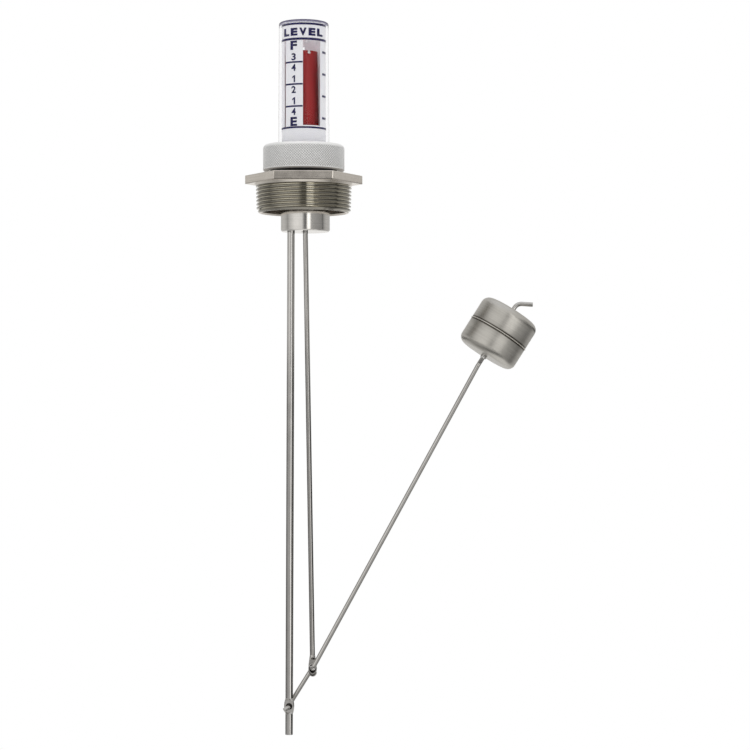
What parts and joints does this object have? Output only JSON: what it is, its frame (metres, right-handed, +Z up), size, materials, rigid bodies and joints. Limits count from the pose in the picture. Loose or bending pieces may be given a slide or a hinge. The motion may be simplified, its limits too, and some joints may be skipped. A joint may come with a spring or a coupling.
{
  "type": "liquid level gauge",
  "caption": "Side-arm tank gauge: a float on a swinging wire arm moves a rod and a red indicator behind a printed scale in a clear cap, above a threaded hex bushing.",
  "frame": {"origin": "on the axis of the tank thread, at the underside of the hex", "axes": "+Z up along the thread axis towards the sight cap, +X towards the float, -Y towards the front of the scale"},
  "size_m": [0.1827, 0.0654, 0.448],
  "materials": {
    "bushing_steel": "machined stainless steel",
    "hub_aluminium": "turned aluminium",
    "ring_aluminium": "satin aluminium with a diamond knurl",
    "black_rubber": "smooth black rubber",
    "clear_plastic": "clear moulded plastic",
    "white_film": "white printed film",
    "dark_ink": "dark blue print",
    "red_plastic": "deep red moulded plastic",
    "rod_steel": "bright drawn stainless rod",
    "wire_steel": "bright stainless wire",
    "float_steel": "drawn stainless sheet"
  },
  "bodies": {
    "head": {"hex_bushing": "bushing_steel", "bushing_gasket": "black_rubber", "gauge_hub": "hub_aluminium", "cap_gasket": "black_rubber", "sight_cap": "clear_plastic", "lock_ring": "ring_aluminium", "scale_sleeve": "white_film", "scale_marks": "dark_ink", "support_rod": "rod_steel"},
    "arm": {"float_arm": "wire_steel"},
    "float": {"float_upper_cup": "float_steel", "float_lower_cup": "float_steel", "float_tube": "float_steel"},
    "indicator": {"operating_rod": "rod_steel", "level_indicator": "red_plastic", "push_nut": "rod_steel"}
  },
  "joints": [
    {"name": "arm_swing", "type": "hinge", "parent": "head", "child": "arm", "pos_m": [-0.00962, 0, -0.32912], "axis": [0, 1, 0], "range_deg": [0, 116]},
    {"name": "rod_slide", "type": "slide", "parent": "head", "child": "indicator", "axis": [0, 0, 1], "range_m": [-0.0487, 0]},
    {"name": "float_spin", "type": "hinge", "parent": "arm", "child": "float", "pos_m": [0.12238, -0.0025, -0.094], "axis": [0.5367, 0.0454, 0.8425], "continuous": true}
  ],
  "couplings": [
    {"joint": "rod_slide", "follows": "arm_swing", "m_per_rad": -0.024043}
  ]
}
